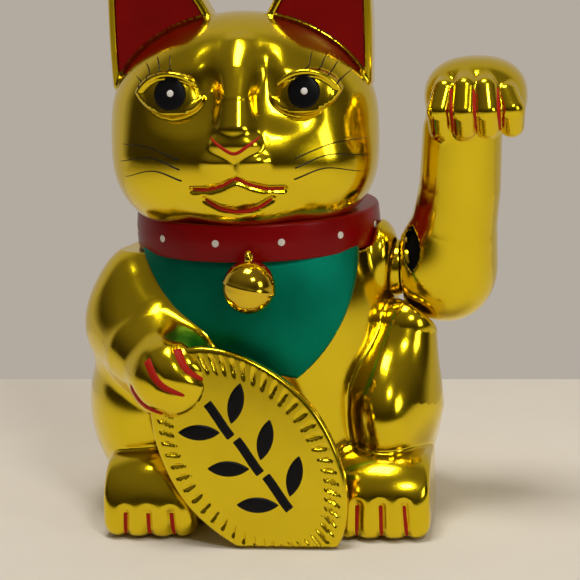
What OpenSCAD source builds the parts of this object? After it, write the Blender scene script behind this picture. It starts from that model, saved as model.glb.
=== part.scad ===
// Beckoning cat figurine: thin metallised plastic shells around a battery-driven pendulum
// that rocks the raised left arm. Millimetres, +Z up, the cat faces -Y, the origin lies on
// the table in the middle of the base. Left and right are the cat's own.

/* [Shells] */
// Wall thickness of the moulded shells
wall = 2; // [1.6:0.1:2.4]
// Overall width across the thighs
body_w = 118; // [115:1:121]
// Height of the shoulders, where the collar sits
shoulder_h = 87.5; // [86.5:0.5:88.5]
// Width of the head
head_w = 87; // [84:1:89]
// Height of the top of the head
head_top = 163.5; // [162:0.5:165]
// Height of the ear tips
ear_h = 195; // [188:1:200]
// Smoothness of the creases where two bulges meet, higher is sharper
crease = 18; // [12:1:30]

/* [Collar and bell] */
// Outer radius of the collar
collar_r = 40; // [39:0.5:41]
// Height of the collar band
collar_band_h = 12; // [10:0.5:12]
// Radius of the bell
bell_r = 8.4; // [7.5:0.1:9]

/* [Coin] */
// Length of the oval coin
coin_l = 80; // [76:1:82]
// Width of the oval coin
coin_w = 51; // [48:1:52]
// Thickness of the coin
coin_t = 4; // [3:0.5:4.5]
// Sideways tilt of the coin, top towards the right paw
coin_tilt = 38; // [36:1:40]
// Backward lean of the coin against the belly
coin_lean = 5; // [4:1:7]

/* [Arm and mechanism] */
// Height of the arm pivot
pivot_h = 79; // [78:0.5:80]
// Radius of the pivot shaft
shaft_r = 2; // [1.5:0.25:2.5]
// Running clearance between the shaft and its bearings
running_gap = 0.06; // [0.04:0.01:0.09]
// Length of the pendulum from the pivot to the bottom of its magnet
pendulum_l = 60; // [57:1:61]
// Thickness of the circuit board
board_t = 1.6; // [1.2:0.4:1.6]

/* [Base and battery] */
// Thickness of the base plate
base_t = 2.5; // [2:0.5:3]
// Thickness of the foam pads under the base
pad_h = 1; // [0.8:0.1:1.2]
// Diameter of the battery cell
cell_d = 14.5; // [14:0.1:14.5]
// Length of the battery cell
cell_l = 50.5; // [49:0.5:51]

/* [Hidden] */
$fn = 48;

half_w = body_w / 2;
seam_y = -8;
fit_gap = 0.3;
base_z = pad_h;
floor_z = base_z + base_t;
neck_top = shoulder_h + 11.5;
neck_r = 36;
head_base = neck_top + 0.1;

// Every bulge of a shell is an ellipsoid, written as its centre and its three radii.
trunk = [[0, -4, 62], [46, 40, 60]];
pelvis = [[0, -1, 27], [half_w - 7, 42, 64]];
left_thigh = [[half_w - 23, -8, 35], [23, 35, 31]];
right_thigh = [[24.5 - half_w, -8, 35], [23, 33, 31]];
left_foot = [[42, -36, 12], [16.5, 20, 17]];
right_foot = [[-31.5, -37, 12], [16.5, 20, 17]];
upper_arm = [[-40, -16, 64], [14.5, 18, 24]];
forearm = [[-34, -33, 56], [15, 18, 17]];
paw = [[-22, -51, 51], [13, 10.5, 13]];
tail = [[0, 36, 18], [10, 9, 13]];
neck = [[0, -4, 95], [neck_r, neck_r, 1000]];
body_lobes = [
    trunk, pelvis, left_thigh, right_thigh, left_foot, right_foot, upper_arm, forearm, tail,
];

head_mid = (head_top + head_base - 3) / 2;
head_x = -2;
skull = [[head_x, -12, head_mid], [head_w / 2, 34, head_top - head_mid]];
left_cheek = [[head_x + 17, -20, 118], [26, 27, 20]];
right_cheek = [[head_x - 15.5, -20, 118], [26, 27, 20]];
muzzle = [[0, -41, 119], [15, 11, 11]];
chin = [[0, -37, 109], [12, 10, 8]];
head_lobes = [skull, left_cheek, right_cheek, muzzle, chin];

arm_foot = [62, seam_y, pivot_h];
arm_low = arm_foot.z - 17;
arm_high = 147.5;
shoulder_knob = [arm_foot, [15.5, 17, 17.5]];
forearm_raised = [[67, -11, 106], [13, 14, 45]];
fist = [[72.5, -17, 134], [16.5, 19, 13.5]];
arm_lobes = [shoulder_knob, forearm_raised, fist];

function total(values) = values * [for (value = values) 1];

// Distance from a point to the far side of an ellipsoid, or zero when the ray misses it.
function reach(from, dir, lobe, inset) =
    let (
        radii = [for (r = lobe[1]) r - inset],
        p = [for (i = [0 : 2]) (from[i] - lobe[0][i]) / radii[i]],
        d = [for (i = [0 : 2]) dir[i] / radii[i]],
        a = d * d,
        b = p * d,
        root = b * b - a * (p * p - 1)
    )
    root < 0 ? 0 : max(0, (sqrt(root) - b) / a);

// Distance to the skin around several bulges, with the creases between them filled a little.
function skin(from, dir, lobes, inset) =
    pow(total([for (lobe = lobes) pow(reach(from, dir, lobe, inset), crease)]), 1 / crease);

function level(turn) = [cos(turn), sin(turn), 0];

// A row of skin points round the upright line through `from`, over half a turn.
function half_ring(from, lobes, inset, start, steps) = [
    for (i = [0 : steps])
        let (dir = level(start + 180 * i / steps))
        from + dir * max(1 - inset / 4, skin(from, dir, lobes, inset))
];

// Heights from low to high, closer together towards both ends.
function heights(low, high, count) = [
    for (i = [0 : count]) (low + high) / 2 - (high - low) / 2 * cos(180 * i / count)
];

function flat(rows) = [for (row = rows) each row];

// A closed shell between two grids of points that have the same rows and columns.
module closed_shell(outer, inner) {
    rows = len(outer);
    cols = len(outer[0]);
    shift = rows * cols;
    polyhedron(
        points = concat(flat(outer), flat(inner)),
        faces = concat(
            [for (r = [0 : rows - 2], c = [0 : cols - 2], half = [0, 1])
                let (a = r * cols + c, b = a + cols)
                half == 0 ? [a, b, a + 1] : [a + 1, b, b + 1]],
            [for (r = [0 : rows - 2], c = [0 : cols - 2], half = [0, 1])
                let (a = shift + r * cols + c, b = a + cols)
                half == 0 ? [a, a + 1, b] : [a + 1, b + 1, b]],
            [for (c = [0 : cols - 2], half = [0, 1])
                half == 0 ? [c, c + 1, c + 1 + shift] : [c, c + 1 + shift, c + shift]],
            [for (c = [0 : cols - 2], half = [0, 1])
                let (a = (rows - 1) * cols + c)
                half == 0 ? [a, a + shift, a + 1 + shift] : [a, a + 1 + shift, a + 1]],
            [for (r = [0 : rows - 2], half = [0, 1])
                let (a = r * cols, b = a + cols)
                half == 0 ? [a, a + shift, b + shift] : [a, b + shift, b]],
            [for (r = [0 : rows - 2], half = [0, 1])
                let (a = (r + 1) * cols - 1, b = a + cols)
                half == 0 ? [a, b, b + shift] : [a, b + shift, a + shift]]
        )
    );
}

body_heights = concat(
    [for (i = [0 : 20]) base_z + (shoulder_h - base_z) * i / 20],
    [shoulder_h + 0.2, neck_top]
);

function body_lobes_at(z) = z > shoulder_h ? [neck] : body_lobes;

body_steps = 34;

module body_half(start) {
    closed_shell(
        [for (z = body_heights) half_ring([0, seam_y, z], body_lobes_at(z), 0, start, body_steps)],
        [for (z = body_heights) half_ring([0, seam_y, z], body_lobes_at(z), wall, start, body_steps)]
    );
}

module head_half(start) {
    steps = 28;
    rows = 20;
    closed_shell(
        [for (z = heights(head_base, head_top, rows))
            half_ring([0, seam_y, z], head_lobes, 0, start, steps)],
        [for (z = heights(head_base, head_top - wall, rows))
            half_ring([0, seam_y, z], head_lobes, wall, start, steps)]
    );
}

// The line inside the arm from which its skin is measured.
function arm_axis(z) =
    let (share = (z - arm_foot.z) / (fist[0].z - arm_foot.z))
    [arm_foot.x + (fist[0].x - arm_foot.x) * min(1, max(0, share)),
     arm_foot.y + (fist[0].y - arm_foot.y) * min(1, max(0, share)), z];

module arm_half(start) {
    steps = 16;
    rows = 26;
    closed_shell(
        [for (z = heights(arm_low, arm_high, rows))
            half_ring(arm_axis(z), arm_lobes, 0, start, steps)],
        [for (z = heights(arm_low + wall, arm_high - wall, rows))
            half_ring(arm_axis(z), arm_lobes, wall, start, steps)]
    );
}

module rod_x(x, length, radius) {
    translate([x, seam_y, pivot_h])
        rotate([0, 90, 0])
            cylinder(h = length, r = radius);
}

module tube(height, outer_r, inner_r) {
    difference() {
        cylinder(h = height, r = outer_r);
        translate([0, 0, -1])
            cylinder(h = height + 2, r = inner_r);
    }
}

module ellipsoid(lobe, grow) {
    translate(lobe[0])
        scale([for (r = lobe[1]) r + grow])
            sphere(r = 1);
}

// ---- ears ----
ear_root_in = 8;
ear_root_out = 42;
ear_tip_x = 39;
ear_y = -17;
ear_root_z = 146;
panel_t = 1;
rim = 2.6;

function bow(a, b, rise, count) =
    let (side = [a.y - b.y, b.x - a.x] / norm(b - a))
    [for (i = [0 : count - 1])
        let (t = i / count)
        a + (b - a) * t + side * rise * 4 * t * (1 - t)];

// Outline of an ear seen from the front: bowed inner edge, nearly straight outer edge.
function ear_outline(inset) = concat(
    bow([ear_root_in + inset, ear_root_z + 15], [ear_tip_x - inset / 2, ear_h - 2 * inset], 3.5, 8),
    bow([ear_tip_x + 1.5 - inset / 2, ear_h - 2 * inset], [ear_root_out - inset, ear_root_z], 0.8, 5),
    [[ear_root_out - inset, ear_root_z]]
);

module ear_slab(side, inset, y, thickness) {
    translate([head_x, y + thickness, 0])
        rotate([90, 0, 0])
            linear_extrude(height = thickness)
                scale([side, 1])
                    polygon(ear_outline(inset));
}

// Front half of an ear: a cup open to the rear, with a shallow recess for its panel.
module ear_front(side) {
    difference() {
        ear_slab(side, 0, ear_y, seam_y - ear_y);
        ear_slab(side, rim, ear_y - 1, panel_t + 1);
        ear_slab(side, wall, ear_y + panel_t + wall, 20);
        ellipsoid(skull, -wall / 2);
    }
}

// Rear half of an ear: the plate that closes the cup.
module ear_back(side) {
    difference() {
        ear_slab(side, 0, seam_y, wall);
        ellipsoid(skull, -wall / 2);
    }
}

module ear_panel(side) {
    color("crimson")
        difference() {
            ear_slab(side, rim, ear_y, panel_t);
            ellipsoid(skull, 1);
        }
}

// ---- shells ----
module head_front_shell() {
    color("gold") {
        head_half(180);
        for (side = [-1, 1])
            ear_front(side);
    }
}

module head_rear_shell() {
    color("gold") {
        head_half(0);
        for (side = [-1, 1])
            ear_back(side);
    }
}

boss_h = 16;
boss_turns = [60, 120, 215, 325];

// Middle of a screw boss: as far out as the inside of the wall allows.
function boss_at(turn) =
    let (room = min([for (z = [base_z : 3 : floor_z + boss_h + 2])
        skin([0, seam_y, z], level(turn), body_lobes, wall)]))
    [0, seam_y, floor_z] + level(turn) * (room - head_r - 0.2);

screw_r = 1.4;
head_r = 2.6;

boss_r = 3.6;
rib_t = 1.6;

module boss(turn) {
    translate(boss_at(turn))
        tube(boss_h, boss_r, screw_r);
    boss_rib(turn);
}

// Upright rib that ties a boss to the wall behind it and ends halfway through the wall.
module boss_rib(turn) {
    start = norm(boss_at(turn) - [0, seam_y, floor_z]) + (screw_r + boss_r) / 2;
    steps = 4;
    wall_line = [for (i = [0 : steps])
        let (z = floor_z + boss_h * i / steps)
        [skin([0, seam_y, z], level(turn), body_lobes, wall / 2), z]];
    translate([0, seam_y, 0])
        rotate([0, 0, turn])
            rotate([90, 0, 0])
                linear_extrude(height = rib_t, center = true)
                    polygon(concat([[start, floor_z]], wall_line, [[start, floor_z + boss_h]]));
}

bush_r = 8;
bush_collar_r = 9.2;
bush_start = 38;
bush_step = 46.2;
bush_end = 52;

// Hole through the shoulder that the bush is glued into.
module bush_hole() {
    rod_x(bush_start - 6, 40, bush_r + 0.05);
}

module body_front_shell() {
    color("gold")
        difference() {
            union() {
                body_half(180);
                boss(boss_turns[2]);
                boss(boss_turns[3]);
                paw_lump();
            }
            bush_hole();
        }
}

module paw_lump() {
    intersection() {
        ellipsoid(paw, 0);
        translate([-60, -80, 30])
            cube([60, 50, 50]);
    }
}

module body_rear_shell() {
    color("gold")
        difference() {
            union() {
                body_half(0);
                boss(boss_turns[0]);
                boss(boss_turns[1]);
            }
            bush_hole();
        }
}

// ---- bib, collar and bell ----
bib_t = 1.1;
bib_gap = 0.25;
arm_gap = 4;
bib_low = 45;
bib_top = shoulder_h - 0.5;

// Half-width and middle of the bib as turns round the body, from its tip (0) to its top (1).
function bib_half_turn(share) = 52 * pow(sin(90 * share), 0.58) + 1;
function bib_mid_turn(share) = 267 + 14 * (1 - share);

module bib() {
    rows = 14;
    cols = 16;
    layers = [for (out = [bib_t + bib_gap, bib_gap])
        [for (r = [0 : rows])
            [for (c = [0 : cols])
                let (
                    share = r / rows,
                    z = bib_low + (bib_top - bib_low) * share,
                    turn = bib_mid_turn(share) + bib_half_turn(share) * (2 * c / cols - 1),
                    from = [0, seam_y, z]
                )
                from + level(turn) * (skin(from, level(turn), body_lobes, 0) + out)]]];
    color("seagreen")
        difference() {
            closed_shell(layers[0], layers[1]);
            for (lobe = [upper_arm, forearm, paw])
                ellipsoid(lobe, arm_gap);
        }
}

collar_z = shoulder_h + 0.3;

module collar() {
    lip = 0.8;
    bead_h = 1.6;
    color("firebrick")
        translate([0, trunk[0].y, collar_z])
            difference() {
                union() {
                    cylinder(h = collar_band_h, r = collar_r - lip);
                    translate([0, 0, collar_band_h - bead_h - 0.4])
                        cylinder(h = bead_h, r = collar_r);
                    cylinder(h = bead_h, r = collar_r);
                }
                translate([0, 0, -1])
                    cylinder(h = collar_band_h + 2, r = neck_r + 0.1);
            }
}

bell_z = collar_z - bell_r + 2.4;
chest_y = trunk[0].y - trunk[1].y * sqrt(1 - pow((bell_z - trunk[0].z) / trunk[1].z, 2));
bell_at = [3.6, chest_y - bib_gap - bib_t - bell_r - 0.3, bell_z];

module bell() {
    bell_wall = 1;
    slot_w = 2;
    stem_r = 2;
    color("goldenrod")
        difference() {
            union() {
                translate(bell_at)
                    sphere(r = bell_r);
                translate(bell_at + [0, 0, bell_r - bell_wall])
                    cylinder(h = 1.6, r = stem_r);
            }
            translate(bell_at)
                sphere(r = bell_r - bell_wall);
            translate(bell_at - [slot_w / 2, bell_r, bell_r + 1])
                cube([slot_w, 2 * bell_r, 4]);
            translate([0, trunk[0].y, collar_z - 40])
                cylinder(h = 80, r = collar_r + 0.1);
        }
}

// ---- coin ----
coin_mid = [2.3, -58, 29.5];
coin_rim = 3;
coin_relief = 0.8;
coin_peg_r = 2.5;

module coin_frame() {
    translate(coin_mid)
        rotate([-coin_lean, 0, 0])
            rotate([90, 0, 0])
                rotate([0, 0, coin_tilt])
                    children();
}

// Long oval, a little pointed at its ends, as a polygon.
function oval(length, width) = [
    for (turn = [0 : 7.5 : 352.5])
        [width / 2 * sign(cos(turn)) * pow(abs(cos(turn)), 1.1),
         length / 2 * sign(sin(turn)) * pow(abs(sin(turn)), 1.1)]
];

module coin_plate(inset, z, thickness) {
    translate([0, 0, z])
        linear_extrude(height = thickness)
            polygon(oval(coin_l - 2 * inset, coin_w - 2 * inset));
}

module above_table() {
    translate([-100, -100, base_z])
        cube(200);
}

module coin() {
    color("gold")
        difference() {
            intersection() {
                coin_frame()
                    difference() {
                        coin_plate(0, -coin_t, coin_t);
                        difference() {
                            coin_plate(coin_rim, -coin_relief, 2);
                            coin_plate(coin_rim + 6, -coin_relief - 1, 4);
                        }
                    }
                above_table();
            }
            ellipsoid(paw, 0.4);
            ellipsoid(forearm, 0.8);
            ellipsoid(upper_arm, 0.8);
        }
    color("gold")
        for (z = [24, 42])
            translate([2, 0, z])
                rotate([90, 0, 0])
                    coin_peg(z);
}

// Glue peg from the back of the coin into the belly.
module coin_peg(z) {
    belly = -seam_y + skin([0, seam_y, z], level(270), body_lobes, 0);
    back = -coin_mid.y + (coin_mid.z - z) * tan(coin_lean) - coin_t;
    translate([0, 0, belly - 1])
        cylinder(h = back - belly + 2, r = coin_peg_r);
}

module leaf(length, width) {
    radius = (length * length / 4 + width * width / 4) / width;
    intersection() {
        translate([radius - width / 2, length / 2])
            circle(r = radius);
        translate([width / 2 - radius, length / 2])
            circle(r = radius);
    }
}

// Plain leafy sprig: three stem pieces and pairs of leaves.
module coin_ornament() {
    stem_l = 13;
    stem_w = 2.4;
    color("black")
        difference() {
            coin_frame()
                linear_extrude(height = 0.9)
                    for (i = [-1 : 1])
                        translate([0, i * (stem_l + 1.5)]) {
                            translate([-stem_w / 2, -stem_l / 2])
                                square([stem_w, stem_l]);
                            for (side = [-1, 1])
                                translate([side * (stem_w / 2 + 1), -stem_l / 4])
                                    rotate(-side * 52)
                                        leaf(13, 4.2);
                        }
            ellipsoid(paw, 0.5);
        }
}

// ---- raised arm ----
arm_opening_r = bush_collar_r + 1.4;
hub_r = 6;
shaft_end = arm_foot.x + 6;

module arm_inner_shell() {
    color("gold")
        difference() {
            arm_half(90);
            rod_x(arm_foot.x - 20, 15, arm_opening_r);
        }
}

module arm_outer_shell() {
    color("gold")
        difference() {
            union() {
                arm_half(-90);
                rod_x(bush_end + 1, shoulder_knob[1].x + arm_foot.x - bush_end - 2, hub_r);
            }
            rod_x(bush_end, shaft_end - bush_end, shaft_r);
        }
}

// ---- mechanism ----
module shoulder_bush() {
    color("gold")
        difference() {
            union() {
                rod_x(bush_start, bush_step - bush_start, bush_r);
                rod_x(bush_step, bush_end - bush_step, bush_collar_r);
            }
            rod_x(bush_start - 1, bush_end - bush_start + 2, shaft_r + running_gap);
        }
}

lever_x = 28;
lever_w = 8;
bracket_x = 12;
bracket_t = 4;
shaft_start = bracket_x - 2;

module pivot_shaft() {
    color("silver")
        rod_x(shaft_start, shaft_end - shaft_start, shaft_r);
}

magnet_h = 5;
magnet_r = 7;
weight_h = 14;
weight_r = 9;
magnet_z = pivot_h - pendulum_l;
weight_z = magnet_z + magnet_h;
hang_at = [lever_x + lever_w / 2, seam_y + 2];

module pendulum_lever() {
    bar_t = 4;
    color("white")
        difference() {
            union() {
                rod_x(lever_x, lever_w, hub_r + 1);
                translate([lever_x, seam_y - bar_t / 2, weight_z + weight_h])
                    cube([lever_w, bar_t, pivot_h - weight_z - weight_h]);
                translate([hang_at.x, hang_at.y, weight_z + weight_h])
                    cylinder(h = 2.5, r = weight_r);
            }
            rod_x(lever_x - 1, lever_w + 2, shaft_r);
        }
}

module pendulum_weight() {
    color("dimgray")
        translate([hang_at.x, hang_at.y, weight_z])
            cylinder(h = weight_h, r = weight_r);
}

module pendulum_magnet() {
    color("slategray")
        translate([hang_at.x, hang_at.y, magnet_z])
            cylinder(h = magnet_h, r = magnet_r);
}

module bearing_bracket() {
    foot_l = 20;
    foot_t = 2.5;
    top_w = 14;
    bevel = 3;
    top_z = pivot_h + 7;
    color("white")
        difference() {
            union() {
                translate([bracket_x, seam_y, 0])
                    rotate([90, 0, 90])
                        linear_extrude(height = bracket_t)
                            polygon([
                                [-foot_l / 2, floor_z], [foot_l / 2, floor_z],
                                [top_w / 2, top_z - bevel], [top_w / 2 - bevel, top_z],
                                [bevel - top_w / 2, top_z], [-top_w / 2, top_z - bevel]]);
                translate([bracket_x - 8, seam_y - foot_l / 2, floor_z])
                    cube([8.5, foot_l, foot_t]);
            }
            rod_x(bracket_x - 1, bracket_t + 2, shaft_r + running_gap);
        }
}

// ---- base ----
tray_wall = 1.2;
cell_mid = [-5.5, 12.6, floor_z + cell_d / 2 + 0.6];
tray_l = cell_l + 5;
tray_w = cell_d + 1.2;
tray_h = cell_d + 2.4;

module base_outline() {
    polygon([for (i = [0 : 2 * body_steps - 1])
        let (turn = 180 * i / body_steps, room = min([for (z = [base_z, base_z + base_t])
            skin([0, seam_y, z], level(turn), body_lobes, wall)]))
        [0, seam_y] + [cos(turn), sin(turn)] * (room - fit_gap)]);
}

module tray_box(grow, z, height) {
    translate([cell_mid.x - tray_l / 2 - grow, cell_mid.y - tray_w / 2 - grow, z])
        cube([tray_l + 2 * grow, tray_w + 2 * grow, height]);
}

board_l = 24;
board_w = 20;
board_at = [hang_at.x - 3, seam_y];
post_h = 2;
board_z = floor_z + post_h;

module board_posts() {
    for (x = [-1, 1], y = [-1, 1])
        translate([board_at.x + x * (board_l / 2 - 3), board_at.y + y * (board_w / 2 - 3), floor_z - 0.5])
            cylinder(h = post_h + 0.5, r = 2);
}

module base_plate() {
    color("ivory")
        difference() {
            union() {
                translate([0, 0, base_z])
                    linear_extrude(height = base_t)
                        base_outline();
                tray_box(tray_wall, floor_z - 0.5, tray_h + tray_wall);
                board_posts();
            }
            tray_box(0, base_z - 1, tray_h + base_t + 0.5);
            for (turn = boss_turns)
                translate([boss_at(turn).x, boss_at(turn).y, 0])
                    cylinder(h = 10, r = screw_r + 0.2);
        }
}

module base_screws() {
    head_h = 0.7;
    screw_l = 12;
    color("silver")
        for (turn = boss_turns)
            translate([boss_at(turn).x, boss_at(turn).y, base_z]) {
                translate([0, 0, -head_h])
                    cylinder(h = head_h, r = head_r);
                cylinder(h = screw_l, r = screw_r);
            }
}

// Non-slip foam under the base, in front of and behind the battery door.
module foam_pads() {
    color("black")
        difference() {
            translate([0, trunk[0].y, 0])
                linear_extrude(height = pad_h)
                    polygon(oval(58, 78));
            translate([-50, cell_mid.y - tray_w / 2 - 1.5, -1])
                cube([100, tray_w + 3, pad_h + 2]);
        }
}

module circuit_board() {
    color("green")
        translate([board_at.x - board_l / 2, board_at.y - board_w / 2, board_z])
            cube([board_l, board_w, board_t]);
}

coil_z = board_z + board_t;
coil_h = magnet_z - 2.5 - coil_z;
coil_r = 9;
flange = 1;

module coil_bobbin() {
    color("whitesmoke")
        translate([hang_at.x, hang_at.y, coil_z])
            difference() {
                union() {
                    cylinder(h = flange, r = coil_r);
                    cylinder(h = coil_h, r = 4);
                    translate([0, 0, coil_h - flange])
                        cylinder(h = flange, r = coil_r);
                }
                translate([0, 0, -1])
                    cylinder(h = coil_h + 2, r = 2.5);
            }
}

module coil_winding() {
    color("chocolate")
        translate([hang_at.x, hang_at.y, coil_z + flange])
            tube(coil_h - 2 * flange, coil_r - 0.8, 4);
}

module transistor() {
    color("black")
        translate([board_at.x - board_l / 2 + 1, board_at.y - 1, coil_z + 2])
            cube([3.5, 4.5, 4.5]);
    color("silver")
        for (i = [-1 : 1])
            translate([board_at.x - board_l / 2 + 2.7, board_at.y + 1.2 + 1.3 * i, coil_z])
                cylinder(h = 2, r = 0.3);
}

module capacitor() {
    color("navy")
        translate([board_at.x - board_l / 2 + 3, board_at.y - board_w / 2 + 3, coil_z])
            cylinder(h = 7, r = 2.5);
}

contact_t = 0.4;
cell_x = cell_mid.x + tray_l / 2 - contact_t - 0.2 - cell_l;

module battery_cell() {
    color("orange")
        translate([cell_x, cell_mid.y, cell_mid.z])
            rotate([0, 90, 0]) {
                cylinder(h = cell_l - 1, r = cell_d / 2 - 0.1);
                cylinder(h = cell_l, r = 2.7);
            }
}

door_gap = 0.25;

module battery_door() {
    color("ivory")
        difference() {
            tray_box(-door_gap, base_z, base_t - 0.5);
            for (i = [-2 : 2])
                translate([cell_mid.x - tray_l / 2 + 8 + 1.6 * i, cell_mid.y - 5, base_z - 1])
                    cube([0.8, 10, 1.4]);
        }
}

module contact_plate() {
    color("silver")
        translate([cell_mid.x + tray_l / 2 - contact_t - 0.1, cell_mid.y - 5, floor_z + 1])
            cube([contact_t, 10, 12]);
}

// Round bar along a smooth row of points.
module bar_along(path, radius) {
    sides = 8;
    last = len(path) - 1;
    rings = [for (i = [0 : last])
        let (
            run = path[min(i + 1, last)] - path[max(i - 1, 0)],
            ahead = run / norm(run),
            across = cross(ahead, [0.02, 0.05, 1]),
            side = across / norm(across),
            up = cross(side, ahead)
        )
        [for (k = [0 : sides - 1])
            path[i] + radius * (cos(360 * k / sides) * side + sin(360 * k / sides) * up)]];
    polyhedron(
        points = flat(rings),
        faces = concat(
            [[for (k = [sides - 1 : -1 : 0]) k]],
            [[for (k = [0 : sides - 1]) last * sides + k]],
            [for (i = [0 : last - 1], k = [0 : sides - 1], half = [0, 1])
                let (a = i * sides + k, b = i * sides + (k + 1) % sides)
                half == 0 ? [a, b, b + sides] : [a, b + sides, a + sides]]
        )
    );
}

spring_wire_r = 0.3;

// Conical battery spring on its contact leaf.
module contact_spring() {
    turns = 4;
    steps = 14;
    start = [cell_mid.x - tray_l / 2 + 0.1, cell_mid.y, cell_mid.z];
    room = cell_x - start.x - contact_t - 1.5 * spring_wire_r - 0.1;
    color("silver") {
        translate(start + [0, -5, -6])
            cube([contact_t, 10, 12]);
        bar_along([for (i = [0 : turns * steps])
            let (share = i / (turns * steps), turn = 360 * i / steps, r = 5 - 2 * share)
            start + [contact_t + spring_wire_r / 2 + room * share, r * cos(turn), r * sin(turn)]],
            spring_wire_r);
    }
}

// Points of a smooth bend from a to d, pulled towards b and c.
function bend(a, b, c, d) = [
    for (i = [0 : 10])
        let (t = i / 10, s = 1 - t)
        s * s * s * a + 3 * s * s * t * b + 3 * s * t * t * c + t * t * t * d
];

lead_r = 0.6;

module red_lead() {
    start = [cell_mid.x + tray_l / 2 + tray_wall + lead_r + 0.1, cell_mid.y, floor_z + 6];
    end = [start.x + 4.5, board_at.y + board_w / 2 + lead_r + 0.1, board_z + board_t / 2];
    color("red")
        bar_along(bend(start, start + [0.5, -4, 2], end + [0, 5, 3], end), lead_r);
}

module black_lead() {
    y = cell_mid.y - tray_w / 2 - tray_wall - lead_r - 0.1;
    start = [cell_mid.x - tray_l / 2 + 2, y, floor_z + 6];
    end = [board_at.x - 4, board_at.y + board_w / 2 + lead_r + 0.1, board_z + board_t / 2];
    color("black")
        bar_along(bend(start, start + [16, 0, 5], end + [-14, 0, 5], end), lead_r);
}

head_front_shell();
head_rear_shell();
ear_panel(1);  // left_ear_panel
ear_panel(-1);  // right_ear_panel
body_front_shell();
body_rear_shell();
bib();
collar();
bell();
coin();
coin_ornament();
arm_inner_shell();
arm_outer_shell();
shoulder_bush();
pivot_shaft();
pendulum_lever();
pendulum_weight();
pendulum_magnet();
bearing_bracket();
base_plate();
base_screws();
foam_pads();
circuit_board();
coil_bobbin();
coil_winding();
transistor();
capacitor();
battery_cell();
battery_door();
contact_spring();
contact_plate();
red_lead();
black_lead();
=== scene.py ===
"""Looks of the beckoning cat: smooth moulded skins, painted details, materials, light, camera."""
import math

import bpy
import numpy as np
from mathutils import Matrix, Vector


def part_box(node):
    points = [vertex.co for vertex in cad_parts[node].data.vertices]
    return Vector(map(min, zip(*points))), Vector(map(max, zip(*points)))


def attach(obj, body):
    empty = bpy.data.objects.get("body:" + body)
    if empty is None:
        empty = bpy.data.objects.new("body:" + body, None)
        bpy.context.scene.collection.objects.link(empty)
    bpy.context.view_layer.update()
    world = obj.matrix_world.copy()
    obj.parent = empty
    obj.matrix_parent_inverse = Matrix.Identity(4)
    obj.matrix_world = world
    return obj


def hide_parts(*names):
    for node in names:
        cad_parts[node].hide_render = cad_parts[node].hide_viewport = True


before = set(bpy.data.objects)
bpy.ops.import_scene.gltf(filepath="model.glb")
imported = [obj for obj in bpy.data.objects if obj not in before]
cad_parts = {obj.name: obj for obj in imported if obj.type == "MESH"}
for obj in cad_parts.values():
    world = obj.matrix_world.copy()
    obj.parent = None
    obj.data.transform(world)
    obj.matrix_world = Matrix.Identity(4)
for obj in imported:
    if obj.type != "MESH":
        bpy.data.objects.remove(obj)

for startup_name in ("Cube", "Light", "Camera"):
    if startup_name in bpy.data.objects:
        bpy.data.objects.remove(bpy.data.objects[startup_name])

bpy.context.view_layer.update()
MM = 0.001

# ---------------------------------------------------------------- main sizes, millimetres
SEAM_Y = -8.0
HEAD_X = -2.0          # middle of the skull; the face itself is centred on FACE_X
FACE_X = 0.5
HEAD_W = 87.0
HEAD_TOP = 163.5
HEAD_MID = 129.8
NECK_Z = 99.2
SHOULDER_Z = 87.5
BASE_Z = 1.0
PIVOT = np.array([62.0, SEAM_Y, 79.0])
COLLAR_R = 40.0
COLLAR_MID = np.array([0.0, -4.0])
COLLAR_LOW = 87.8
COLLAR_HIGH = 99.8
COIN_MID = np.array([2.3, -58.0, 29.5])
COIN_LENGTH = 80.0
COIN_WIDTH = 51.0
COIN_THICK = 4.0
COIN_TILT = math.radians(38)
COIN_LEAN = math.radians(5)
BELL_R = 8.4

# ---------------------------------------------------------------- grid cells of the skins, millimetres
HEAD_CELL = 0.7
BODY_CELL = 0.95
ARM_CELL = 0.7
COIN_CELL = 0.6
SPRIG_CELL = 0.4
PANEL_CELL = 0.7


# ---------------------------------------------------------------- distance fields
def vec(*values):
    return np.array(values, dtype=float)


def ellipsoid(p, centre, radii):
    """Approximate signed distance to an ellipsoid, exact on its surface."""
    q = (p - vec(*centre)) / vec(*radii)
    outer = np.linalg.norm(q, axis=1)
    inner = np.linalg.norm(q / vec(*radii), axis=1) + 1e-9
    return outer * (outer - 1) / inner


def rounded_box(p, centre, half, rounding):
    """Box with rounded edges."""
    d = np.abs(p - vec(*centre)) - (vec(*half) - rounding)
    outside = np.linalg.norm(np.maximum(d, 0), axis=1)
    return outside + np.minimum(d.max(axis=1), 0) - rounding


def limb(p, a, b, radius_a, radius_b):
    """Round bar from a to b whose radius changes evenly."""
    a, b = vec(*a), vec(*b)
    axis = b - a
    share = np.clip((p - a) @ axis / (axis @ axis), 0, 1)
    near = a + share[:, None] * axis
    return np.linalg.norm(p - near, axis=1) - (radius_a + (radius_b - radius_a) * share)


def strand(p, points, radii):
    """Round bar along several points."""
    pairs = zip(points, points[1:], radii, radii[1:])
    return np.min([limb(p, a, b, ra, rb) for a, b, ra, rb in pairs], axis=0)


def join(a, b, soft):
    """Union of two fields with a fillet of about `soft` millimetres."""
    gap = np.maximum(soft - np.abs(a - b), 0) / soft
    return np.minimum(a, b) - gap * gap * soft / 4


def carve(a, b, soft):
    """Field a with b cut out of it, the edge softened."""
    return -join(-a, b, soft)


def overlap(a, b, soft):
    """Intersection of two fields, the edge softened."""
    return -join(-a, -b, soft)


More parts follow.
